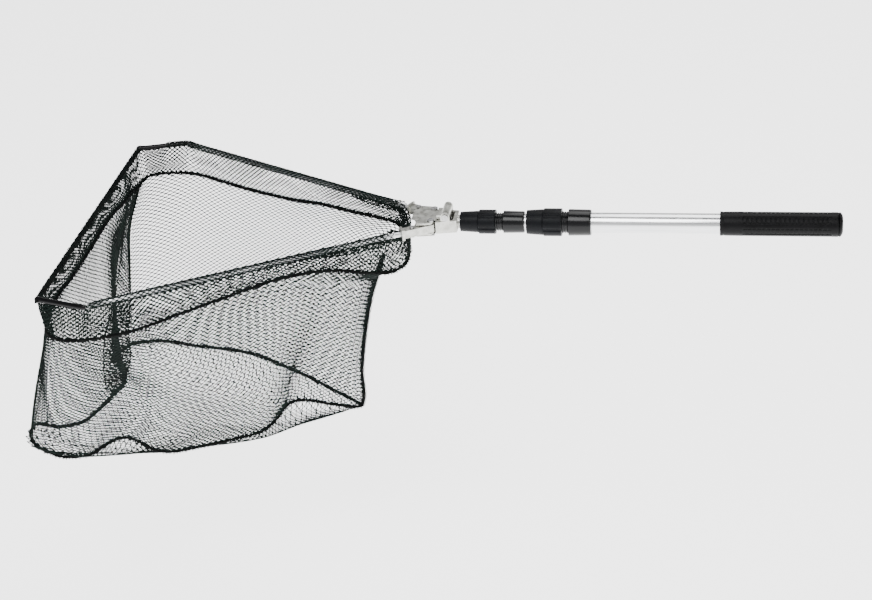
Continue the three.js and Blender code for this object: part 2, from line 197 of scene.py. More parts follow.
def sweep(points, radius, facets=16):
    """Vertices and quads of a capped round tube along a polyline. radius is one value or one a point."""
    points = np.asarray(points, float)
    side, up = frames(points)
    radius = np.broadcast_to(np.asarray(radius, float), len(points))
    angle = np.linspace(0, 2 * math.pi, facets, endpoint=False)
    ring = side[:, None, :] * np.cos(angle)[None, :, None] + up[:, None, :] * np.sin(angle)[None, :, None]
    verts = points[:, None, :] + ring * radius[:, None, None]
    first = np.repeat(points[:1, None, :], facets, 1)
    last = np.repeat(points[-1:, None, :], facets, 1)
    verts = np.concatenate([first, verts, last])
    return verts.reshape(-1, 3), grid_faces(len(verts), facets)


def joined(parts):
    """Several (vertices, faces) as one."""
    verts, faces, start = [], [], 0
    for v, f in parts:
        verts.append(v)
        faces.append(f + start)
        start += len(v)
    return np.concatenate(verts), np.concatenate(faces)


class Curve:
    """A smooth curve through points, read by its share of length. Where a point has six numbers
    the length is that of the first three."""

    def __init__(self, points, fine=24):
        p = np.asarray(points, float)
        ends = [2 * p[0] - p[1], *p, 2 * p[-1] - p[-2]]
        out = []
        for a, b, c, d in zip(ends, ends[1:], ends[2:], ends[3:]):
            for t in np.linspace(0, 1, fine, endpoint=False):
                out.append(0.5 * (2 * b + (c - a) * t + (2 * a - 5 * b + 4 * c - d) * t * t
                                  + (3 * b - a - 3 * c + d) * t ** 3))
        out.append(p[-1])
        self.points = np.array(out)
        steps = np.linalg.norm(np.diff(self.points[:, :3], axis=0), axis=1)
        self.length = steps.sum()
        self.share = np.concatenate([[0], np.cumsum(steps)]) / self.length
        self.knots = self.share[::fine]

    def __call__(self, share):
        share = np.asarray(share, float)
        columns = self.points.shape[1]
        return np.stack([np.interp(share, self.share, self.points[:, k]) for k in range(columns)], -1)


# ---------------------------------------------------------------- materials
def material(name, colour, roughness, metallic=0.0):
    made = bpy.data.materials.new(name)
    made.use_nodes = True
    shader = made.node_tree.nodes["Principled BSDF"]
    shader.inputs["Base Color"].default_value = (*colour, 1)
    shader.inputs["Roughness"].default_value = roughness
    shader.inputs["Metallic"].default_value = metallic
    return made, made.node_tree, shader


def node(tree, kind, **values):
    made = tree.nodes.new(kind)
    for key, value in values.items():
        if key in made.inputs:
            made.inputs[key].default_value = value
        else:
            setattr(made, key, value)
    return made


def noise(tree, scale, detail=4.0, stretch=(1, 1, 1)):
    """Noise over the object's own coordinates, in metres."""
    place = node(tree, "ShaderNodeTexCoord")
    mapping = node(tree, "ShaderNodeMapping")
    mapping.inputs["Scale"].default_value = stretch
    texture = node(tree, "ShaderNodeTexNoise", Scale=scale, Detail=detail)
    tree.links.new(place.outputs["Object"], mapping.inputs["Vector"])
    tree.links.new(mapping.outputs["Vector"], texture.inputs["Vector"])
    return texture.outputs["Fac"]


def ramp(tree, value, low, high, colours):
    made = node(tree, "ShaderNodeValToRGB")
    made.color_ramp.elements[0].position = low
    made.color_ramp.elements[1].position = high
    made.color_ramp.elements[0].color = (*colours[0], 1)
    made.color_ramp.elements[1].color = (*colours[1], 1)
    tree.links.new(value, made.inputs["Fac"])
    return made.outputs["Color"]


def spread(tree, value, low, high):
    """Maps a noise value from its usual 0.3 to 0.7 onto low to high."""
    made = node(tree, "ShaderNodeMapRange")
    made.inputs["From Min"].default_value = 0.3
    made.inputs["From Max"].default_value = 0.7
    made.inputs["To Min"].default_value = low
    made.inputs["To Max"].default_value = high
    tree.links.new(value, made.inputs["Value"])
    return made.outputs["Result"]


def bump(tree, shader, value, strength, distance):
    made = node(tree, "ShaderNodeBump", Strength=strength, Distance=distance)
    tree.links.new(value, made.inputs["Height"])
    tree.links.new(made.outputs["Normal"], shader.inputs["Normal"])


def tube_aluminium():
    made, tree, shader = material("drawn_aluminium", (0.83, 0.84, 0.85), 0.2, 1.0)
    along = noise(tree, 900, 3, (0.02, 1, 1))
    tree.links.new(ramp(tree, along, 0.35, 0.65, [(0.74, 0.75, 0.76), (0.88, 0.89, 0.90)]),
                   shader.inputs["Base Color"])
    tree.links.new(spread(tree, along, 0.16, 0.27), shader.inputs["Roughness"])
    bump(tree, shader, along, 0.06, 0.0002)
    return made


def rod_aluminium():
    made, tree, shader = material("satin_aluminium", (0.72, 0.73, 0.74), 0.33, 1.0)
    grain = noise(tree, 1400, 4, (0.06, 0.06, 1))
    tree.links.new(ramp(tree, grain, 0.3, 0.7, [(0.62, 0.63, 0.64), (0.78, 0.79, 0.80)]),
                   shader.inputs["Base Color"])
    tree.links.new(spread(tree, grain, 0.27, 0.42), shader.inputs["Roughness"])
    bump(tree, shader, grain, 0.08, 0.0002)
    return made


def head_metal():
    made, tree, shader = material("pressed_metal", (0.66, 0.66, 0.62), 0.3, 1.0)
    patches = noise(tree, 160, 5)
    fine = noise(tree, 2600, 3, (1, 0.2, 1))
    tree.links.new(ramp(tree, patches, 0.32, 0.7, [(0.34, 0.34, 0.31), (0.62, 0.62, 0.58)]),
                   shader.inputs["Base Color"])
    tree.links.new(spread(tree, patches, 0.22, 0.4), shader.inputs["Roughness"])
    bump(tree, shader, fine, 0.12, 0.0003)
    return made


def pin_steel():
    made, tree, shader = material("plated_steel", (0.6, 0.6, 0.6), 0.25, 1.0)
    patches = noise(tree, 500, 4)
    tree.links.new(ramp(tree, patches, 0.3, 0.7, [(0.3, 0.3, 0.3), (0.55, 0.55, 0.55)]),
                   shader.inputs["Base Color"])
    tree.links.new(spread(tree, patches, 0.2, 0.36), shader.inputs["Roughness"])
    return made


def moulded(name, dark, light, roughness, grain, depth, shine):
    """Moulded plastic: a slight colour change, uneven gloss and a fine surface grain."""
    made, tree, shader = material(name, dark, roughness)
    cloud = noise(tree, 90, 3)
    fine = noise(tree, grain, 4)
    tree.links.new(ramp(tree, cloud, 0.3, 0.7, [dark, light]), shader.inputs["Base Color"])
    tree.links.new(spread(tree, fine, roughness - 0.06, roughness + 0.08), shader.inputs["Roughness"])
    shader.inputs["Specular IOR Level"].default_value = shine
    bump(tree, shader, fine, depth, 0.0004)
    return made


def yarn(name, dark, light):
    """Twisted yarn: dark green-black, matt, with a slight change of shade along it."""
    made, tree, shader = material(name, dark, 0.7)
    cloud = noise(tree, 40, 2)
    tree.links.new(ramp(tree, cloud, 0.35, 0.65, [dark, light]), shader.inputs["Base Color"])
    shader.inputs["Specular IOR Level"].default_value = 0.08
    return made


TUBE = tube_aluminium()
ROD = rod_aluminium()
METAL = head_metal()
PIN = pin_steel()
LOCK = moulded("lock_plastic", (0.0015, 0.0016, 0.002), (0.003, 0.0033, 0.004), 0.2, 1500, 0.04, 0.25)
NUT = moulded("nut_plastic", (0.002, 0.0023, 0.003), (0.004, 0.0046, 0.006), 0.42, 1800, 0.1, 0.1)
GRIP = moulded("grip_rubber", (0.001, 0.001, 0.0012), (0.003, 0.003, 0.0035), 0.4, 2400, 0.2, 0.1)
TIP = moulded("tip_plastic", (0.001, 0.001, 0.0012), (0.003, 0.003, 0.0035), 0.25, 1500, 0.04, 0.15)
YARN = yarn("net_yarn", (0.003, 0.006, 0.005), (0.007, 0.014, 0.0115))
CORD = yarn("black_cord", (0.002, 0.0025, 0.0025), (0.005, 0.0065, 0.006))


# ---------------------------------------------------------------- handle
def x_range(name):
    """First and last x of a CAD node, in millimetres from the neck."""
    low, high = box(name)
    return (low[0] - NECK_X) / MM, (high[0] - NECK_X) / MM


def outer_radius(name):
    low, high = box(name)
    return (high[2] - low[2]) / 2 / MM


def stand_in(thing, body, cad_node):
    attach(thing, body)
    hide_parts(cad_node)


def build_tube(cad_node, body, wall=0.9):
    start, end = x_range(cad_node)
    outer = outer_radius(cad_node)
    outline = rounded([(start, outer - wall), (start, outer), (end, outer), (end, outer - wall)], 0.25, 3)
    stand_in(revolve(cad_node + "_look", outline, TUBE), body, cad_node)


def build_grip():
    """The grip: a flared mouth, then six rows of low blocks between smooth ridges."""
    start, end = x_range("grip")
    _, butt = x_range("butt_plug")
    radius = outer_radius("grip")
    bore = outer_radius("butt_tube") + 0.3
    rows, row_half = 6, math.radians(20)
    pitch, first, last = 4.9, start + 24, end - 7

    def blocks(x, r, angle):
        off = np.abs((angle - math.radians(14) + math.pi / rows) % (2 * math.pi / rows) - math.pi / rows)
        in_row = np.clip((row_half - off) / math.radians(2.5), 0, 1)
        in_length = np.clip((x - first) / 1.0, 0, 1) * np.clip((last - x) / 1.0, 0, 1)
        phase = ((x - first) % pitch) / pitch
        gap = np.clip((0.17 - np.minimum(phase, 1 - phase)) / 0.06, 0, 1)
        edge = np.clip((math.radians(4) - np.abs(off - row_half + math.radians(4))) / math.radians(2), 0, 1)
        dent = 0.25 + 0.65 * np.maximum(gap, edge)
        return np.where(r > radius - 1.5, r - dent * in_row * in_length, r)

    fine = np.arange(start + 6, end - 1.2, 0.35)
    outer = [(x, radius - 0.25 + 0.25 * min(1, (x - start) / 30)) for x in fine]
    mouth = [(start + 3.2, bore), (start + 0.9, bore + 0.5), (start, radius - 0.6),
             (start + 0.5, radius - 0.1), (start + 2.2, radius - 0.05), (start + 3.6, radius - 0.55)]
    tail = [(end - 0.5, radius - 0.1), (end, radius - 0.6), (end, bore)]
    grip = revolve("grip_look", mouth + outer + tail, GRIP, 288, blocks)
    stand_in(grip, "butt_section", "grip")

    face = end + 0.3
    nose = [(face - 6, 0.01), (face - 6, 9.7), (face, 9.7), (face, radius - 0.5), (face + 0.4, radius),
            (face + 1.4, radius - 0.15), (butt - 1.4, radius - 1.5), (butt - 0.5, radius - 3.0),
            (butt, radius - 5.0), (butt, 0.01)]
    plug = revolve("butt_plug_look", nose, GRIP)
    stand_in(plug, "butt_section", "butt_plug")


def build_lock(nut_node, collar_node, collet_node, nut_body, collar_body, tube_radius):
    """A twist lock: a cone with a six-lobed ring, and a collar with a threaded neck."""
    start, end = x_range(nut_node)
    ring = outer_radius(nut_node)
    body = outer_radius(collar_node)
    collar_start, collar_end = x_range(collar_node)
    slim = ring < 14.5                    # the front lock, which fits a thinner tube
    split = end - (18.5 if slim else 19.8)
    cone_back = ring - (1.6 if slim else 1.2)
    cone_front = cone_back - 1.1
    neck = ring - 3.4
    lobes = 6

    def grooves(x, r, angle):
        off = np.abs((angle - math.radians(8) + math.pi / lobes) % (2 * math.pi / lobes) - math.pi / lobes)
        cut = np.clip((math.radians(8.5) - off) / math.radians(3.5), 0, 1)
        crown = 0.35 * (1 - np.cos((off - math.pi / lobes) * 3))
        on_ring = (x > split + 0.1) & (r > ring - 1.3)
        return np.where(on_ring, r - 0.95 * cut - crown, r)

    bore = tube_radius + 0.3
    outline = rounded([
        (start, bore), (start, cone_front), (split - 0.7, cone_back), (split - 0.5, cone_back - 0.5),
        (split + 0.3, cone_back - 0.5), (split + 0.4, ring), (end, ring), (end, neck + 0.4),
        (split, neck + 0.4), (split, cone_back - 1.5), (start + 2, cone_back - 2.2), (start + 2, bore),
    ], 0.5)
    stand_in(revolve(nut_node + "_look", outline, NUT, 180, grooves), nut_body, nut_node)

    body_start = collar_end - (23 if slim else 24.5)
    turns = []
    x = body_start - 9.2
    while x < body_start - 1.6:
        turns += [(x, neck - 0.75), (x + 0.55, neck - 0.05),
                  (x + 1.15, neck - 0.05), (x + 1.7, neck - 0.75)]
        x += 2.3
    outline = [(collar_start, bore), (collar_start, neck - 0.75), *turns]
    shoulder = rounded([(body_start, neck - 0.75), (body_start, body), (collar_end - 1.2, body - 0.45),
                        (collar_end, body - 1.2), (collar_end, bore)], 0.5)
    outline += shoulder[2:-5]
    outline += [(collar_end, bore + 1.2), (collar_end, bore)]
    stand_in(revolve(collar_node + "_look", outline, LOCK, 160), collar_body, collar_node)
    tidy_cad(collet_node, NUT, 0.0)


def tidy_cad(name, look, width=0.35):
    """Keeps a CAD piece, with its own look and slightly broken edges."""
    thing = frame["nodes"][name]
    thing.data.materials.clear()
    thing.data.materials.append(look)
    for slot in thing.material_slots:
        slot.material = look
    if width:
        edges = thing.modifiers.new("edges", "BEVEL")
        edges.width = width * MM
        edges.segments = 3
        edges.limit_method = "ANGLE"
        edges.angle_limit = math.radians(35)
        edges.harden_normals = True


def build_handle():
    build_tube("butt_tube", "butt_section")
    build_tube("mid_tube", "mid_section")
    build_tube("top_tube", "top_section")
    build_grip()
    build_lock("rear_lock_nut", "rear_collar", "rear_collet", "rear_nut", "butt_section",
               outer_radius("mid_tube"))
    build_lock("front_lock_nut", "front_collar", "front_collet", "front_nut", "mid_section",
               outer_radius("top_tube"))
    for name in ("mid_bush", "top_bush"):
        tidy_cad(name, NUT)


def outline_plate(outline, low, high, edge=0.5 * MM):
    """A flat plate with rounded edges over an outline, its corners already rounded."""
    outline = np.asarray(outline, float)
    middle = outline.mean(0)
    rings = []
    for inset, z in ((edge, low), (0.3 * edge, low + 0.3 * edge), (0, low + edge), (0, high - edge),
                     (0.3 * edge, high - 0.3 * edge), (edge, high)):
        reach = np.linalg.norm(outline - middle, axis=1, keepdims=True)
        ring = middle + (outline - middle) * (1 - inset / reach)
        rings.append(np.column_stack([ring, np.full(len(ring), z)]))
    count = len(outline)
    verts = np.concatenate([*rings, [[*middle, low]], [[*middle, high]]])
    quads = grid_faces(len(rings), count)
    k = np.arange(count)
    after, top = (k + 1) % count, (len(rings) - 1) * count
    low_cap = np.stack([np.full(count, len(verts) - 2), after, k], -1)
    high_cap = np.stack([np.full(count, len(verts) - 1), top + k, top + after], -1)
    return verts, np.concatenate([quads[:, [0, 1, 2]], quads[:, [0, 2, 3]], low_cap, high_cap])


def round_outline(corners, radius=1.6 * MM, steps=5):
    """Corners of a closed outline, each replaced by a short arc."""
    corners = np.asarray(corners, float)
    out = []
    for before, here, after in zip(np.roll(corners, 1, 0), corners, np.roll(corners, -1, 0)):
        into = (before - here) / np.linalg.norm(before - here)
        on = (after - here) / np.linalg.norm(after - here)
        for t in np.linspace(0, 1, steps):
            out.append(here + into * radius * (1 - t) ** 2 + on * radius * t ** 2)
    return np.array(out)


def build_yoke_skins():
    """The pressed plates over and under the sockets, which reach further out than the CAD yoke."""
    half = [(-23, 9), (-28, 16), (-31, 19.5), (-45.5, 21.5), (-46, 17.5), (-48, 12.5), (-52, 11)]
    corners = half + [(x, -y) for x, y in reversed(half)]
    outline = round_outline([(NECK_X + x * MM, y * MM) for x, y in corners])
    for name, z in (("top", 7.35 * MM), ("under", -8.05 * MM)):
        plate = outline_plate(outline, z, z + 0.7 * MM, 0.3 * MM)
        skin = make_mesh(f"yoke_skin_{name}", *plate, METAL, False)
        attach(skin, "hoop_carrier")


def build_head():
    build_yoke_skins()
    for name in ("head_fork", "yoke", "arm_socket_left", "arm_socket_right"):
        tidy_cad(name, METAL, 0.6)
    for name in ("head_pin", "fold_pin", "lock_button", "arm_pivot_left", "arm_pivot_right",
                 "rod_rivet_left", "rod_rivet_right"):
        tidy_cad(name, PIN, 0.4)
    build_spring()


def build_spring():
    """The button's spring: a wire helix of five turns through the CAD spring's box."""
    low, high = box("lock_spring")
    wire = 0.35 * MM
    middle, radius = (low + high) / 2, (high[0] - low[0]) / 2 - wire
    share = np.linspace(0, 1, 160)
    turn = 2 * math.pi * 5 * share
    line = np.column_stack([
        middle[0] + radius * np.cos(turn),
        low[1] + wire + (high[1] - low[1] - 2 * wire) * share,
        middle[2] + radius * np.sin(turn),
    ])
    spring = make_mesh("lock_spring_look", *sweep(line, wire, 10), PIN)
    stand_in(spring, "top_section", "lock_spring")
    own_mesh(spring)


# ---------------------------------------------------------------- hoop
def build_hoop(side):
    word = SIDES[side]
    body = f"arm_{word}"
    start = arm_point(10.5 * MM, side)
    end = arm_point(ARM_LENGTH - 5 * MM, side)
    rod = make_mesh(f"arm_rod_{word}_look", *sweep(np.linspace(start, end, 12), ROD_RADIUS, 40), ROD)
    stand_in(rod, body, f"arm_rod_{word}")

    # The corner tip bends round the elbow on an arc, and ends in a rounded eye.
    elbow = np.array([ELBOW_X, side * ELBOW_Y, 0])
    tip = np.array([CORD_X, side * TIP_Y, 0])
    first = arm_point(ARM_LENGTH - 2.7 * MM, side)
    out = (tip - elbow) / np.linalg.norm(tip - elbow)
    far = elbow + out * 9 * MM
    bend = [(1 - t) ** 2 * first + 2 * t * (1 - t) * elbow + t * t * far for t in np.linspace(0, 1, 12)]
    eye = [tip + out * EYE_RADIUS * s for s in (-2.2, -0.9, -0.4, 0.0, 0.45, 0.75, 0.93, 1.0)]
    spine = np.array([*bend, far + (tip - far) * 0.5, *eye])
    thick = np.full(len(spine), ROD_RADIUS)
    thick[:1] = ROD_RADIUS * 0.93
    thick[-7:] = EYE_RADIUS * np.array([0.93, 1.0, 1.0, 0.9, 0.66, 0.36, 0.05])
    tip_piece = make_mesh(f"corner_tip_{word}_look", *sweep(spine, thick, 32), TIP)
    stand_in(tip_piece, body, f"corner_tip_{word}")


# ---------------------------------------------------------------- net
CELL = 7.4 * MM                # width of a mesh of the net
ROW = 2.65 * MM                # half its height
YARN_RADIUS = 0.5 * MM
HEADER_CUT = 0.075             # metres of net from the seam over the hoop and back
WALL_CUT = 0.215               # metres of net down a side wall or the front wall
FOLD_CUT = 0.034               # metres of net across a corner's folded strip


def strands(starts, ends, radius=YARN_RADIUS, facets=4):
    """Short bars of yarn from starts to ends, thicker where they meet."""
    along = ends - starts
    length = np.linalg.norm(along, axis=1, keepdims=True)
    keep = length[:, 0] > 1e-5
    starts, ends, along = starts[keep], ends[keep], along[keep] / length[keep]
    side = np.cross(along, [0.21, 0.13, 0.97])
    side /= np.linalg.norm(side, axis=1, keepdims=True)
    up = np.cross(along, side)
    angle = np.linspace(0, 2 * math.pi, facets, endpoint=False)
    ring = (side[:, None, :] * np.cos(angle)[None, :, None]
            + up[:, None, :] * np.sin(angle)[None, :, None]) * radius
    rings = []
    for share, thick in ((0.0, 1.3), (0.5, 0.85), (1.0, 1.3)):
        rings.append((starts + (ends - starts) * share)[:, None, :] + ring * thick)
    verts = np.stack(rings, 1).reshape(-1, 3)
    block = grid_faces(3, facets)
    faces = (np.arange(len(starts)) * 3 * facets)[:, None, None] + block[None]
    return verts, faces.reshape(-1, 4)


def net_edges(columns, rows):
    """Pairs of (column share, row share) for the strands of a diamond mesh."""
    starts, ends = [], []
    for j in range(rows):
        shift = 0.5 * (j % 2)
        here = (np.arange(columns + 1 - (j % 2)) + shift) / columns
        for step in (-0.5, 0.5):
            there = here + step / columns
            inside = (there > -1e-6) & (there < 1 + 1e-6)
            starts.append(np.stack([here[inside], np.full(inside.sum(), j / rows)], -1))
            ends.append(np.stack([there[inside], np.full(inside.sum(), (j + 1) / rows)], -1))
    return np.concatenate(starts), np.concatenate(ends)


def net_piece(surface, width, height, cell=CELL, row_height=ROW, radius=YARN_RADIUS, jitter=0.25, key=0.0,
              slant=0.0):
    """A diamond mesh laid over surface(u, v), as vertices and quads. Slant tilts its rows: over the
    whole width they climb by that share of the height, and are cut off at the edges."""
    columns = max(2, round(width / cell))
    rows = max(2, round(height / row_height))
    starts, ends = net_edges(columns, rows * (2 if slant else 1))
    if slant:
        for uv in (starts, ends):
            uv[:, 1] = uv[:, 1] * 2 - 1 + slant * uv[:, 0] ** 1.5
        kept = ((starts[:, 1] > 0) | (ends[:, 1] > 0)) & ((starts[:, 1] < 1) | (ends[:, 1] < 1))
        starts, ends = starts[kept], ends[kept]
    out = []
    for uv in (starts, ends):
        uv[:, 1] = np.clip(uv[:, 1], 0, 1)
        points = surface(uv[:, 0], uv[:, 1])
        tag = np.round(uv[:, 0] * columns * 2) * 131.7 + np.round(uv[:, 1] * rows) * 57.3 + key
        shake = np.stack([np.sin(tag * 12.9898 + 78.2 * k) * 43758.5453 % 1 - 0.5 for k in range(3)], -1)
        edge = np.minimum(1, 8 * np.minimum(uv[:, 0], 1 - uv[:, 0]))[:, None]
        out.append(points + shake * jitter * MM * edge)
    return strands(out[0], out[1], radius)


def soft(thing, side):
    """Puts a soft piece on its arm, with a mesh of its own."""
    word = SIDES[side]
    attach(thing, f"arm_{word}")
    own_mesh(thing)
    return thing


def arm_mm(x, side):
    """The point of an arm's middle line at that x, in mm from the neck."""
    start = (PIVOT[0] - NECK_X) / MM
    reach = (start - x) * math.tan(ARM_ANGLE)
    return (x, side * (PIVOT[1] / MM + reach), 0.0)


# The header hangs from the hoop and ends in a corded seam. Each station pairs a point of the
# hoop with a point of the seam, in mm from the neck. A plain number is the x of a place on the arm.
HEADER = {
    -1: [((-60, 0, -13), (-59, 0, -38)), ((-63, -14, -12), (-62, -14, -46)),
         ((-67, -28, -6), (-74, -29, -48)), (-80, (-87, -39, -44)), (-100, (-101, -53, -36)),
         (-125, (-124, -67, -26)), (-150, (-147, -81, -20)),
         (-180, (-180, -99, -18)), (-210, (-209, -115, -21)), (-240, (-240, -131, -26)),
         (-280, (-280, -153, -32)), (-320, (-320, -174, -39)), (-348, (-346, -189, -39)),
         (-366, (-372, -196, -40)), ((-393, -190, 0), (-398, -193, -43)),
         ((-418, -183, 0), (-417, -184, -42)), ((-423, -165, 0), (-425, -166, -32)),
         ((-423, -128, 0), (-425, -128, -28)), ((-423, -74, 0), (-424, -74, -29)),
         ((-423, -25, 0), (-424, -25, -29)), ((-423, 0, 0), (-424, 0, -28))],
    1: [((-60, 0, -13), (-59, 0, -38)), ((-63, 12, -12), (-62, 12, -32)), ((-67, 28, -6), (-70, 27, -26)),
        (-80, (-80, 38, -22)), (-105, (-105, 51, -22)), (-141, (-141, 71, -25)), (-178, (-178, 91, -27)),
        (-216, (-216, 111, -32)), (-254, (-254, 132, -35)), (-290, (-290, 151, -36)),
        (-330, (-330, 173, -36)),
        (-352, (-352, 186, -37)), (-366, (-374, 193, -38)), ((-395, 190, 0), (-400, 194, -39)),
        ((-418, 183, 0), (-420, 191, -42)), ((-423, 172, 0), (-427, 181, -46)),
        ((-423, 158, 0), (-429, 164, -47)), ((-423, 141, 0), (-426, 141, -38)),
        ((-423, 117, 0), (-425, 117, -36)), ((-423, 67, 0), (-424, 67, -28)),
        ((-423, 30, 0), (-424, 30, -27)), ((-423, 0, 0), (-424, 0, -28))],
}
CORNER_STATION = 15            # the side wall meets the front wall at this station
ELBOW_STATION = 13             # the hoop's corner tip begins near this station
TIP_X = -418                   # x of the station that passes over the corner tip's end
CORNER = {
    -1: [(-417, -184, -42), (-436, -163, -100), (-456, -143, -160), (-472, -126, -208), (-485, -112, -246)],
    1: [(-427, 181, -46), (-443, 167, -98), (-448, 151, -150), (-450, 137, -187), (-445, 116, -217),
        (-430, 103, -228)],
}
FLOOR_SEAM = {
    -1: [(-133, 0, -246), (-142, -3, -246), (-163, -8, -240), (-200, -15, -230), (-217, -20, -234),
         (-227, -25, -245), (-238, -31, -256), (-252, -37, -263), (-287, -46, -269), (-326, -54, -275),
         (-352, -62, -276.5), (-371, -69, -269), (-386, -76, -253), (-397, -82, -244), (-409, -87, -244),
         (-424, -92, -251), (-441, -98, -259), (-468, -106, -257), (-485, -112, -246)],
    1: [(-133, 0, -246), (-150, 8, -240), (-167, 15, -236), (-203, 31, -227), (-240, 46, -220),
        (-277, 60, -215), (-315, 70, -215), (-354, 79, -217), (-397, 93, -220), (-430, 103, -228)],
}
FLOOR_FRONT = {
    -1: [(-485, -112, -246), (-495, -117, -231), (-496, -117, -216), (-488, -110, -209), (-470, -93, -224),
         (-452, -68, -233), (-444, -43, -235), (-438, -18, -236), (-434, 0, -236)],
    1: [(-430, 103, -228), (-446, 107, -234), (-459, 104, -240), (-467, 93, -241), (-463, 80, -239),
        (-447, 58, -237), (-433, 34, -236), (-430, 14, -236), (-434, 0, -236)],
}
THROAT_SEAM = [(-89, 0, -42), (-98, 0, -67), (-108, 0, -96), (-117, 0, -132), (-125, 0, -173),
               (-129, 0, -203), (-129, 0, -230), (-133, 0, -246)]
# The spare net of a corner folds into a narrow double strip: its root edge and its free edge.
CORNER_FOLD = {
    -1: ([(-416, -186, -5), (-412, -184, -24), (-413, -183, -44)],
         [(-425, -178, -6), (-427, -172, -24), (-424, -168, -42)]),
    1: ([(-428, 180, -46), (-437, 172, -74), (-445, 163, -103), (-449, 150, -153), (-451, 137, -187),
         (-451, 113, -225), (-440, 80, -236), (-434, 36, -238), (-435, 4, -238)],
        [(-430, 178, -47), (-442, 167, -74), (-451, 157, -102), (-461, 142, -151), (-468, 124, -185),
         (-474, 98, -211), (-469, 66, -223), (-459, 33, -232), (-447, 4, -237)]),
}
FLOOR_DEPTH = -278.5           # where the middle of the floor lies, in mm from the handle's axis


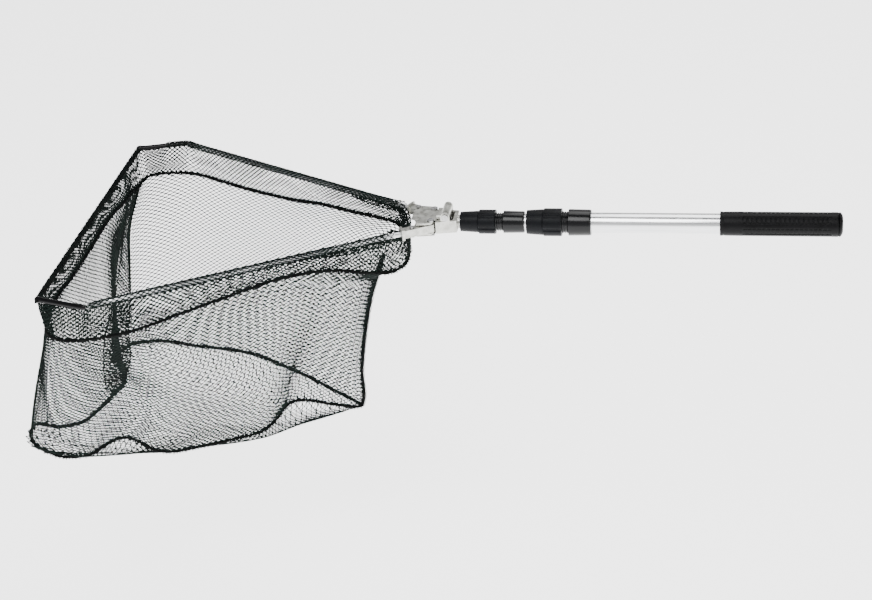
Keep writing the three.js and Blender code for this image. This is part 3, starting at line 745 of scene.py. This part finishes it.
class HalfBag:
    """The seams of one half of the bag, and the surfaces between them."""

    def __init__(self, side):
        self.side = side
        pairs = [(arm_mm(top, side) if np.isscalar(top) else top, seam) for top, seam in HEADER[side]]
        tops, seams = row([top for top, _ in pairs]), row([seam for _, seam in pairs])
        self.header = Curve(np.hstack([tops, seams]), 16)
        self.floor_side = Curve(row(FLOOR_SEAM[side]))
        self.floor_front = Curve(row(FLOOR_FRONT[side]))
        self.throat_seam = Curve(row(THROAT_SEAM))
        self.throat = Curve(row([(-59, 0, -38), (-77, 0, -42), (-89, 0, -49)] + THROAT_SEAM[1:]))
        knots = self.header.knots
        seam = [seam for _, seam in HEADER[side]]
        self.header_side = Curve(row(seam[:CORNER_STATION + 1]))
        self.header_front = Curve(row(seam[CORNER_STATION:]))
        self.corner = Curve(row(CORNER[side]))
        self.elbow_share = knots[ELBOW_STATION]
        self.tip_share = knots[[top[0] for top, _ in pairs].index(TIP_X)]
        self.fold = [Curve(row(edge)) for edge in CORNER_FOLD[side]]

    def top(self, share):
        return self.header(share)[:, :3]

    def seam(self, share):
        return self.header(share)[:, 3:]

    @staticmethod
    def bow(edge, v):
        """How far an edge curve lies from its chord."""
        start, end = edge(0 * v), edge(0 * v + 1)
        return edge(v) - start - (end - start) * v[:, None]

    def side_wall(self, u, v):
        top, low = self.header_side(u), self.floor_side(u)
        points = top + (low - top) * v[:, None]
        points += ((1 - u) ** 3)[:, None] * self.bow(self.throat, v)
        points += (u ** 6)[:, None] * self.bow(self.corner, v)
        inner = np.sin(math.pi * v) * np.sin(math.pi * np.clip(u, 0, 1))
        outward = np.array([math.sin(ARM_ANGLE), self.side * math.cos(ARM_ANGLE), 0])
        points += outward * (inner * 6 * MM)[:, None]
        waves = 1.6 * np.sin(7 * u + 3 * v) + 0.8 * np.sin(15 * u - 4 * v + self.side)
        return points + outward * (waves * inner * MM)[:, None]

    def front_wall(self, u, v):
        top, low = self.header_front(u), self.floor_front(u)
        points = top + (low - top) * v[:, None]
        points += ((1 - u) ** 4)[:, None] * self.bow(self.corner, v)
        fade = np.sin(math.pi * v)
        folds = np.exp(-((u - 0.16) / 0.14) ** 2) * np.sin(30 * u + 4 * v)
        sway = 4.0 * np.sin(math.pi * u * 0.5) + folds + 0.9 * np.sin(13 * u + 6 * v) * (1 - u)
        points[:, 0] -= fade * sway * MM
        return points

    def floor(self, t, w):
        ends = self.throat(np.array([1.0])), self.floor_front(np.array([1.0]))
        spine = ends[0] + (ends[1] - ends[0]) * t[:, None]
        spine[:, 2] += (FLOOR_DEPTH * MM - spine[:, 2]) * np.sin(math.pi / 2 * np.minimum(t / 0.45, 1))
        edge = self.floor_side(t)
        wide = w * (1 + 0.6 * (1 - w) * w * w)
        points = spine + (edge - spine) * wide[:, None]
        points[:, 2] = spine[:, 2] + (edge[:, 2] - spine[:, 2]) * w ** 9
        points[:, 2] += 1.6 * MM * np.sin(11 * t + 4 * w) * (1 - w) * np.sin(math.pi * t)
        front = self.floor_front(1 - w)
        at_front = self.floor_side(t * 0 + 1) * w[:, None] + ends[1] * (1 - w)[:, None]
        points[:, :2] += (t ** 4)[:, None] * (front - at_front)[:, :2]
        points[:, 2] += (t ** 9) * (front[:, 2] - points[:, 2])
        return points

    def header_net(self, u, v):
        """The doubled header: up outside from the seam, over the hoop and down inside to the seam."""
        share = np.clip(u, 0, 1)
        seam, centre = self.seam(share), self.top(share).copy()
        in_corner = np.clip((share - self.elbow_share + 0.01) / 0.02, 0, 1) * np.clip(
            (self.tip_share + 0.015 - share) / 0.03, 0, 1)
        centre[:, 2] -= in_corner * 5 * MM
        step = 1e-3
        tangent = self.top(np.clip(share + step, 0, 1)) - self.top(np.clip(share - step, 0, 1))
        tangent[:, 2] = 0
        tangent /= np.linalg.norm(tangent, axis=1, keepdims=True) + 1e-12
        outward = -self.side * np.stack([tangent[:, 1], -tangent[:, 0], 0 * share], -1)
        on_front = np.clip((share - self.tip_share) / 0.02, 0, 1)
        radius = np.where(share < 0.07, 2.0, 3.9 - 2.2 * in_corner - 1.6 * on_front) * MM
        drop = np.linalg.norm(seam - centre, axis=1)
        run = v * (2 * drop + math.pi * radius)
        over = np.clip((run - drop) / (math.pi * radius), 0, 1)
        angle = math.pi * over
        ring = centre + outward * (radius * np.cos(angle))[:, None]
        ring[:, 2] += radius * np.sin(angle)
        down_in = np.clip((run - drop - math.pi * radius) / drop, 0, 1)
        climb = np.where(over <= 0, 1 - np.clip(run / drop, 0, 1), np.where(over >= 1, down_in, 0))
        puff = np.where(over <= 0, 1, -1) * np.sin(math.pi * climb) * (1.5 + np.sin(31 * share)) * MM
        points = ring + (seam - ring) * climb[:, None]
        return points + outward * (puff * (climb > 0))[:, None]

    def fold_net(self, u, v):
        """A flat double strip between the root edge and the free edge."""
        root, free = self.fold[0](v), self.fold[1](v)
        across = 1 - np.abs(2 * u - 1)
        points = root + (free - root) * across[:, None]
        points[:, 1] += self.side * (u - 0.5) * 3 * MM
        return points


def rope(points, radius, strand_count=3, pitch=9 * MM, facets=6, rough=0.35, key=0.0):
    """A corded seam: a few thick strands twisted together, a little uneven."""
    length = np.linalg.norm(np.diff(points, axis=0), axis=1).sum()
    share = np.linspace(0, 1, max(8, int(length / (1.3 * MM))))
    centre = Curve(points, 8)(share)
    side, up = frames(centre)
    along = share * length / MM
    parts = []
    for k in range(strand_count):
        turn = along * MM / pitch * 2 * math.pi + 2 * math.pi * k / strand_count
        swell = 1 + rough * np.sin(along * 0.9 + 2.1 * k + key) * np.sin(along * 0.37 + k + 2 * key)
        reach = radius * 0.52 * swell
        path = centre + side * (reach * np.cos(turn))[:, None] + up * (reach * np.sin(turn))[:, None]
        parts.append(sweep(path, radius * 0.56 * swell, facets))
    return joined(parts)


def overcast(points, radius, pitch=2.3 * MM, yarn_radius=0.42 * MM, key=0.0):
    """Yarn stitched round a seam in an uneven helix."""
    length = np.linalg.norm(np.diff(points, axis=0), axis=1).sum()
    turns = length / pitch
    share = np.linspace(0, 1, max(12, int(turns * 7)))
    centre = Curve(points, 8)(share)
    side, up = frames(centre)
    along = share * length / MM
    turn = 2 * math.pi * turns * share + 0.8 * np.sin(along * 0.31 + key)
    reach = radius * (1 + 0.22 * np.sin(along * 0.73 + 2 * key) * np.sin(along * 0.19 + key))
    path = centre + side * (reach * np.cos(turn))[:, None] + up * (reach * np.sin(turn))[:, None]
    return sweep(path, yarn_radius, 4)


def corded(points, radius, key):
    """A corded seam with its stitches."""
    loops = overcast(points, radius * 1.5, 3.7 * MM, 0.38 * MM, key + 1.7)
    return joined([rope(points, radius * 0.9, key=key), overcast(points, radius, key=key), loops])


def gathered(points, radius, key, cell=4.6 * MM, row_height=1.5 * MM):
    """Net drawn close round a hoop bar: a dense tube of small meshes."""
    points = np.asarray(points, float)
    curve = Curve(points, 8)
    radius = np.broadcast_to(np.asarray(radius, float), len(points))
    knots = np.linspace(0, 1, len(points))

    def surface(u, v):
        share = np.clip(u, 0, 1)
        centre = curve(share)
        tangent = curve(np.clip(share + 1e-3, 0, 1)) - curve(np.clip(share - 1e-3, 0, 1))
        tangent /= np.linalg.norm(tangent, axis=1, keepdims=True)
        side = np.cross(tangent, [0.0, 0.0, 1.0])
        side /= np.linalg.norm(side, axis=1, keepdims=True)
        up = np.cross(side, tangent)
        angle = 2 * math.pi * v
        reach = np.interp(share, knots, radius) * (1 + 0.08 * np.sin(60 * share + 3 * angle + key))
        return centre + side * (reach * np.cos(angle))[:, None] + up * (reach * np.sin(angle))[:, None]

    around = 2 * math.pi * float(radius.mean())
    return net_piece(surface, curve.length, around, cell, row_height, 0.42 * MM, key=key)


def net_part(name, side, mesh, look):
    """A soft piece of the bag, on its arm and in the given material."""
    thing = soft(make_mesh(f"{name}_{SIDES[side]}", *mesh, look), side)
    return thing


def build_walls(half, side, key):
    """The side wall, front wall, floor and header of half the bag, with the sizes they are cut to."""
    word = SIDES[side]
    # The far side wall looks coarser than the near one, and its rows slant more.
    grain = (CELL, ROW, YARN_RADIUS, 0.25, key, 0.1)
    if side > 0:
        grain = (10 * MM, 2.45 * MM, 0.55 * MM, 0.2, key, 0.25)
    side_size = (half.header_side.length, WALL_CUT)
    side_mesh = net_piece(half.side_wall, *side_size, *grain)
    side_wall = net_part("net_side", side, side_mesh, YARN)
    front_size = (half.header_front.length, WALL_CUT)
    front_mesh = net_piece(half.front_wall, *front_size, key=key + 1)
    front_wall = net_part("net_front", side, front_mesh, YARN)
    floor = net_part("net_floor", side, floor_net(half), YARN)
    header_size = (half.header.length, HEADER_CUT)
    header_mesh = net_piece(half.header_net, *header_size, 6.4 * MM, 2.2 * MM, 0.44 * MM, key=key + 2)
    header = net_part("net_header", side, header_mesh, YARN)

    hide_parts(f"bag_side_{word}", f"bag_throat_{word}")
    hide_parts(f"bag_front_{word}", f"bag_corner_{word}")
    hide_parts(f"bag_floor_{word}")


def build_corner_fold(half, side, key):
    """The corner's spare net, folded to a strip, and the cords in its edges."""
    fold_size = (FOLD_CUT, half.fold[1].length)
    mesh = net_piece(half.fold_net, *fold_size, 5.5 * MM, 2.0 * MM, 0.38 * MM, key=key + 3)
    net_part("net_fold", side, mesh, YARN)
    edges = [rope(edge(np.linspace(0, 1, 40)), 0.9 * MM, 2, 5 * MM, 5, key=key) for edge in half.fold]
    net_part("fold_edges", side, joined(edges), CORD)


def build_seams(half, side, key):
    """The corded seams. The throat's seam lies on the middle line, so it is made once."""
    header_line = half.seam(np.linspace(0, 1, 240))
    floor_line = np.concatenate([half.floor_side(np.linspace(0, 1, 160)),
                                 half.floor_front(np.linspace(0.02, 1, 80))])
    net_part("header_seam", side, corded(header_line, 1.8 * MM, key), CORD)
    net_part("floor_seam", side, corded(floor_line, 1.9 * MM, key + 1), CORD)
    if side < 0:
        throat_line = half.throat_seam(np.linspace(0, 1, 90))
        net_part("throat_seam", side, corded(throat_line, 2.0 * MM, 2.0), CORD)


def build_gathers(side, key):
    """Net drawn close round the arm, thicker towards the head, and bunched where it meets the head."""
    line = np.array([arm_point(d, side) for d in np.linspace(44 * MM, ARM_LENGTH - 6 * MM, 24)])
    swell = 3.4 + 2.2 * np.exp(-np.linspace(0, 1, 24) / 0.05)
    net_part("arm_sleeve", side, gathered(line, swell * MM, key, 6.5 * MM, 2.1 * MM), YARN)
    reach = np.linspace(47, 165 if side < 0 else 120, 14)
    grow = np.interp(reach, [47, 60, 95, 130, 165], [0.8, 1.0, 1.0, 0.6, 0.2])
    roll_line = np.array([arm_point(d * MM, side, -6.3 * MM * g) for d, g in zip(reach, grow)])
    roll = gathered(roll_line, (3.8 if side < 0 else 2.8) * MM * grow, key + 1)
    net_part("arm_roll", side, roll, YARN)
    bunch_line = row([(-72, side * 33, 0), (-68, side * 28, -3), (-64, side * 20, -9),
                      (-63, side * 10, -13), (-64, side * 3, -15)])
    bunch = gathered(bunch_line, np.array([5.0, 5.5, 5.0, 4.6, 3.5]) * MM, key + 2)
    net_part("throat_bunch", side, bunch, YARN)


def build_front_cord(side, key):
    """Half of the taut front cord and the hem stitched round it."""
    word = SIDES[side]
    hem_line = np.array([[CORD_X, side * y, 0] for y in np.linspace(TIP_Y - 4 * MM, 0, 40)])
    hem = joined([rope(hem_line, 1.9 * MM, 3, 14 * MM, key=key),
                  overcast(hem_line, 2.5 * MM, 2.6 * MM, key=key),
                  overcast(hem_line, 3.1 * MM, 3.6 * MM, key=key + 1)])
    front_piece(make_mesh(f"front_hem_{word}", *hem, CORD), side)
    cord_line = np.array([[CORD_X, side * y, 0] for y in np.linspace(TIP_Y + CORD_PAST_TIP, 0.0002, 60)])
    strand = rope(cord_line, CORD_RADIUS, 3, 7 * MM, rough=0.05)
    cord = make_mesh(f"front_cord_{word}_look", *strand, CORD)
    front_piece(cord, side)
    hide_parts(f"front_cord_{word}")


def build_net(side):
    half = HalfBag(side)
    key = 3.1 if side > 0 else 0.0
    build_walls(half, side, key)
    build_corner_fold(half, side, key)
    build_seams(half, side, key)
    build_gathers(side, key)
    build_front_cord(side, key)


def front_piece(thing, side):
    """A half of the front cord or its hem, put on its arm with a mesh of its own."""
    word = SIDES[side]
    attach(thing, f"arm_{word}")
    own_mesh(thing)


def floor_net(half):
    """The floor's mesh keeps its size, so it is cut off along the side seam."""
    middle = half.throat(np.array([1.0])), half.floor_front(np.array([1.0]))
    length = np.linalg.norm(middle[1] - middle[0]) * 1.12
    width = np.linalg.norm(half.floor_side(np.array([1.0])) - middle[1]) * 1.05
    columns, rows = round(length / CELL), round(width / ROW)
    starts, ends = net_edges(columns, rows)
    out = []
    for uv in (starts, ends):
        t, across = uv[:, 0], uv[:, 1] * width
        spine = middle[0] + (middle[1] - middle[0]) * t[:, None]
        here = np.linalg.norm(half.floor_side(t) - spine, axis=1) + 1e-6
        out.append((t, across / here))
    inside = (out[0][1] < 1) | (out[1][1] < 1)
    places = [half.floor(t[inside], np.minimum(w[inside], 1)) for t, w in out]
    return strands(places[0], places[1])


# ---------------------------------------------------------------- studio
def build_studio():
    under_bag = 0.22                      # metres from the bag's lowest point down to the floor
    floor_z = cad_bounds[0][2] - under_bag
    verts = [(-8, -8, floor_z), (8, -8, floor_z), (8, 8, floor_z), (-8, 8, floor_z)]
    look, tree, shader = material("studio_floor", (0.93, 0.93, 0.93), 0.8)
    soft_noise = noise(tree, 3, 2)
    tree.links.new(ramp(tree, soft_noise, 0.3, 0.7, [(0.92, 0.92, 0.92), (0.94, 0.94, 0.94)]),
                   shader.inputs["Base Color"])
    shader.inputs["Emission Color"].default_value = (1, 1, 1, 1)
    shader.inputs["Emission Strength"].default_value = 2.6
    ground = make_mesh("studio_ground", verts, [(0, 1, 2, 3)], look, False)

    world = bpy.data.worlds.new("studio_world")
    bpy.context.scene.world = world
    world.use_nodes = True
    tree = world.node_tree
    place = node(tree, "ShaderNodeTexCoord")
    split = node(tree, "ShaderNodeSeparateXYZ")
    tree.links.new(place.outputs["Generated"], split.inputs["Vector"])
    sky = ramp(tree, split.outputs["Z"], 0.02, 0.9, [(1.2, 1.2, 1.2), (0.2, 0.2, 0.21)])
    tree.links.new(sky, tree.nodes["Background"].inputs["Color"])
    tree.nodes["Background"].inputs["Strength"].default_value = 1.0

    for name, place, size, power in (
        ("key_light", (-0.6, -1.2, 1.9), 1.2, 42),
        ("fill_light", (0.9, -1.6, 1.2), 1.0, 14),
        ("top_light", (0.0, 0.9, 1.8), 1.4, 26),
    ):
        lamp = bpy.data.lights.new(name, "AREA")
        lamp.size = size
        lamp.energy = power
        thing = bpy.data.objects.new(name, lamp)
        thing.location = place
        aim = Vector((-0.2, 0, -0.05)) - Vector(place)
        thing.rotation_euler = aim.to_track_quat("-Z", "Y").to_euler()
        bpy.context.scene.collection.objects.link(thing)


def build_camera():
    """Looks across the handle from the near side, 30 degrees above the hoop."""
    camera = bpy.data.cameras.new("camera")
    camera.sensor_width = 36
    camera.lens = 75
    camera.clip_start = 0.01
    thing = bpy.data.objects.new("camera", camera)
    right = Vector((0.98545, 0.15379, -0.0724))
    down = Vector((0.01547, -0.50535, -0.86277))
    ahead = Vector((-0.16927, 0.8491, -0.50038))
    turn = Matrix((right, -down, -ahead)).transposed()
    thing.matrix_world = Matrix.Translation((-0.0337, -1.7375, 0.9235)) @ turn.to_4x4()
    bpy.context.scene.collection.objects.link(thing)
    bpy.context.scene.camera = thing


build_handle()
build_head()
for each_side in SIDES:
    build_hoop(each_side)
    build_net(each_side)
build_studio()
build_camera()
